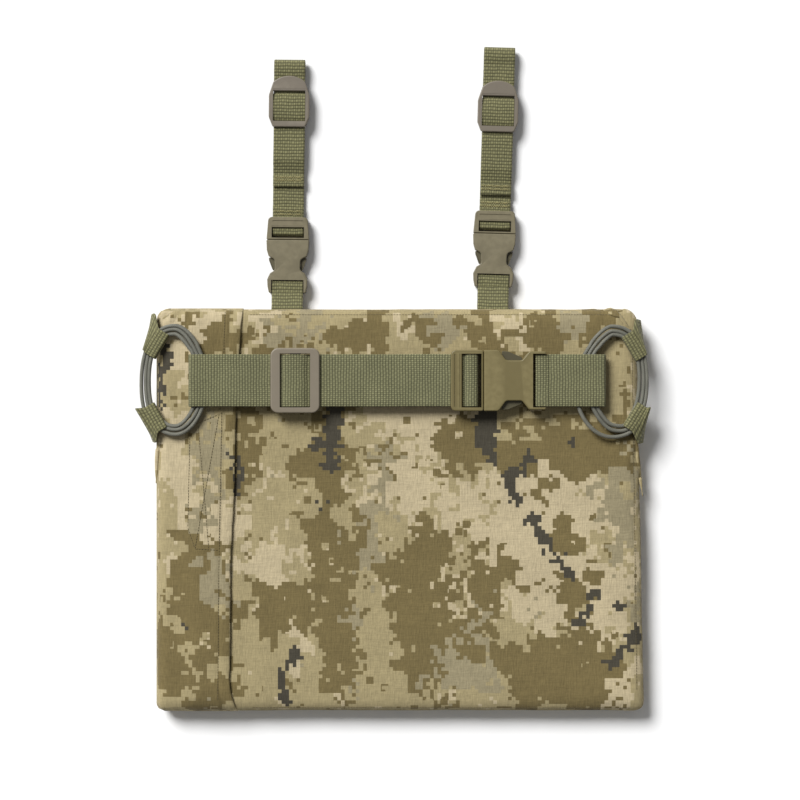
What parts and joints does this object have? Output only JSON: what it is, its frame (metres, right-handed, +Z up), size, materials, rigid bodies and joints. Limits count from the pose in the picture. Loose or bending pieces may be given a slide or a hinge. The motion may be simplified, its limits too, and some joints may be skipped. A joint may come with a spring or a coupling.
{
  "type": "padded harness panel",
  "caption": "Flat foam panel in a camouflage cover with a side closure flap, a waist belt hung on cord rings, and two hanger straps with side-release buckles and ladder locks.",
  "frame": {"origin": "centre of the whole object's footprint, on the surface that it lies on", "axes": "+Z up out of the panel's front, +Y towards the hanger straps, +X towards the belt buckle's side"},
  "size_m": [0.3958, 0.5136, 0.0345],
  "materials": {
    "camouflage_fabric": "matt printed pixel camouflage",
    "foam": "closed-cell foam",
    "touch_fastener": "hook and loop",
    "olive_webbing": "woven, matt",
    "elastic_cord": "braided sheath",
    "sand_plastic": "moulded, satin",
    "taupe_plastic": "moulded, satin"
  },
  "bodies": {
    "panel": {"back_cover": "camouflage_fabric", "front_cover": "camouflage_fabric", "foam_core": "foam", "closure_flap": "camouflage_fabric", "hook_strip": "touch_fastener", "loop_strip": "touch_fastener", "left_cord_ring": "elastic_cord", "right_cord_ring": "elastic_cord", "left_upper_loop": "olive_webbing", "left_lower_loop": "olive_webbing", "right_upper_loop": "olive_webbing", "right_lower_loop": "olive_webbing", "left_strap_anchor": "olive_webbing", "right_strap_anchor": "olive_webbing"},
    "belt_left": {"belt_left_webbing": "olive_webbing", "belt_buckle_plug": "sand_plastic"},
    "belt_right": {"belt_right_webbing": "olive_webbing", "belt_buckle_socket": "sand_plastic"},
    "belt_adjuster": {"belt_slider": "taupe_plastic"},
    "belt_arm_a": {"belt_latch_arm_a": "sand_plastic"},
    "belt_arm_b": {"belt_latch_arm_b": "sand_plastic"},
    "left_socket": {"left_strap_buckle_socket": "taupe_plastic"},
    "left_strap": {"left_strap_buckle_plug": "taupe_plastic", "left_strap_webbing": "olive_webbing"},
    "left_arm_a": {"left_strap_latch_arm_a": "taupe_plastic"},
    "left_arm_b": {"left_strap_latch_arm_b": "taupe_plastic"},
    "left_lock": {"left_strap_ladder_lock": "taupe_plastic"},
    "right_socket": {"right_strap_buckle_socket": "taupe_plastic"},
    "right_strap": {"right_strap_buckle_plug": "taupe_plastic", "right_strap_webbing": "olive_webbing"},
    "right_arm_a": {"right_strap_latch_arm_a": "taupe_plastic"},
    "right_arm_b": {"right_strap_latch_arm_b": "taupe_plastic"},
    "right_lock": {"right_strap_ladder_lock": "taupe_plastic"}
  },
  "joints": [
    {"name": "belt_release", "type": "slide", "parent": "panel", "child": "belt_left", "axis": [-1, 0, 0], "range_m": [0, 0.0155], "deforming": ["belt_latch_arm_a", "belt_latch_arm_b"]},
    {"name": "belt_release_right", "type": "slide", "parent": "panel", "child": "belt_right", "axis": [1, 0, 0], "range_m": [0, 0.0155], "deforming": ["belt_latch_arm_a", "belt_latch_arm_b"]},
    {"name": "belt_adjust", "type": "slide", "parent": "belt_left", "child": "belt_adjuster", "axis": [1, 0, 0], "range_m": [-0.04, 0.09]},
    {"name": "belt_latch_a", "type": "hinge", "parent": "belt_left", "child": "belt_arm_a", "pos_m": [0.06814, 0.01517, 0.0283], "axis": [0, 0, -1], "range_deg": [0, 10], "stiffness_Nm_per_rad": 0.02},
    {"name": "belt_latch_b", "type": "hinge", "parent": "belt_left", "child": "belt_arm_b", "pos_m": [0.06814, -0.01803, 0.0283], "axis": [0, 0, 1], "range_deg": [0, 10], "stiffness_Nm_per_rad": 0.02},
    {"name": "left_strap_swing", "type": "hinge", "parent": "panel", "child": "left_socket", "pos_m": [-0.08356, 0.06987, 0.0052], "axis": [0.9999, -0.0105, 0], "range_deg": [0, 90]},
    {"name": "left_strap_release", "type": "slide", "parent": "left_socket", "child": "left_strap", "axis": [0.0105, 0.9999, 0], "range_m": [0, 0.025], "deforming": ["left_strap_latch_arm_a", "left_strap_latch_arm_b"]},
    {"name": "left_latch_a", "type": "hinge", "parent": "left_strap", "child": "left_arm_a", "pos_m": [-0.07257, 0.10676, 0.0052], "axis": [0, 0, -1], "range_deg": [0, 9], "stiffness_Nm_per_rad": 0.01},
    {"name": "left_latch_b", "type": "hinge", "parent": "left_strap", "child": "left_arm_b", "pos_m": [-0.09377, 0.10698, 0.0052], "axis": [0, 0, 1], "range_deg": [0, 9], "stiffness_Nm_per_rad": 0.01},
    {"name": "left_lock_slide", "type": "slide", "parent": "left_strap", "child": "left_lock", "axis": [0.0105, 0.9999, 0], "range_m": [-0.034, 0]},
    {"name": "right_strap_swing", "type": "hinge", "parent": "panel", "child": "right_socket", "pos_m": [0.07554, 0.07467, 0.0052], "axis": [0.9996, -0.0279, 0], "range_deg": [0, 90]},
    {"name": "right_strap_release", "type": "slide", "parent": "right_socket", "child": "right_strap", "axis": [0.0279, 0.9996, 0], "range_m": [0, 0.025], "deforming": ["right_strap_latch_arm_a", "right_strap_latch_arm_b"]},
    {"name": "right_latch_a", "type": "hinge", "parent": "right_strap", "child": "right_arm_a", "pos_m": [0.08717, 0.11136, 0.0052], "axis": [0, 0, -1], "range_deg": [0, 9], "stiffness_Nm_per_rad": 0.01},
    {"name": "right_latch_b", "type": "hinge", "parent": "right_strap", "child": "right_arm_b", "pos_m": [0.06598, 0.11195, 0.0052], "axis": [0, 0, 1], "range_deg": [0, 9], "stiffness_Nm_per_rad": 0.01},
    {"name": "right_lock_slide", "type": "slide", "parent": "right_strap", "child": "right_lock", "axis": [0.0279, 0.9996, 0], "range_m": [-0.034, 0]}
  ],
  "couplings": [
    {"joint": "belt_release_right", "follows": "belt_release", "ratio": 1},
    {"joint": "belt_latch_b", "follows": "belt_latch_a", "ratio": 1},
    {"joint": "left_latch_b", "follows": "left_latch_a", "ratio": 1},
    {"joint": "right_latch_b", "follows": "right_latch_a", "ratio": 1}
  ]
}
